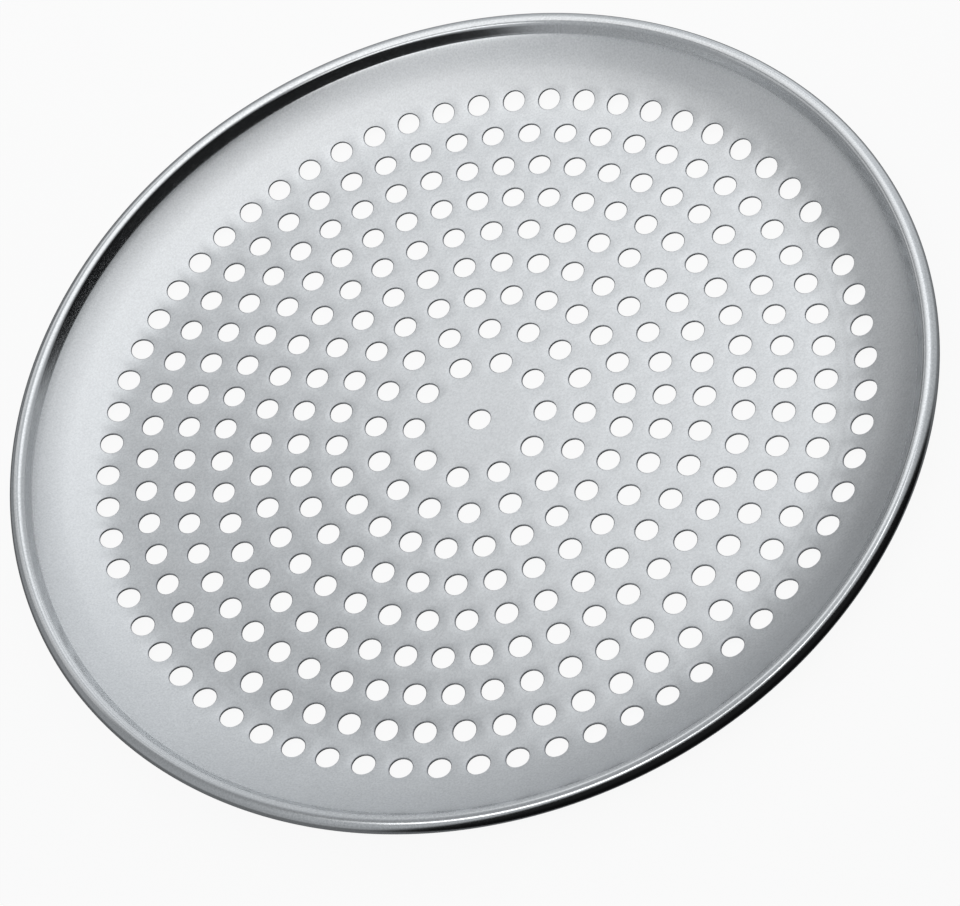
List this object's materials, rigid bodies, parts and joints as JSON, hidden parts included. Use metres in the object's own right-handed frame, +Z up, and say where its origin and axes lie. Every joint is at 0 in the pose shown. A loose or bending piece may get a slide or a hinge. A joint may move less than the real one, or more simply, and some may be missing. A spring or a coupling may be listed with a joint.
{
  "type": "pizza pan",
  "caption": "Round shallow pizza pan: perforated flat base, margin curving up all round and a rolled, wire-stiffened rim, for crisping a crust in an oven.",
  "frame": {"origin": "centre of the pan on the flat underside that it stands on", "axes": "+Z up along the axis of the round rim; +X and +Y in the plane of the base, with the first hole of the outermost ring straight towards +X from the middle hole"},
  "size_m": [0.33, 0.33, 0.016],
  "materials": {
    "pan_sheet": "satin, with the fine grain of rolled sheet",
    "wire_steel": "drawn wire, plain"
  },
  "bodies": {
    "root": {"pan_body": "pan_sheet", "rim_wire": "wire_steel"}
  },
  "joints": []
}
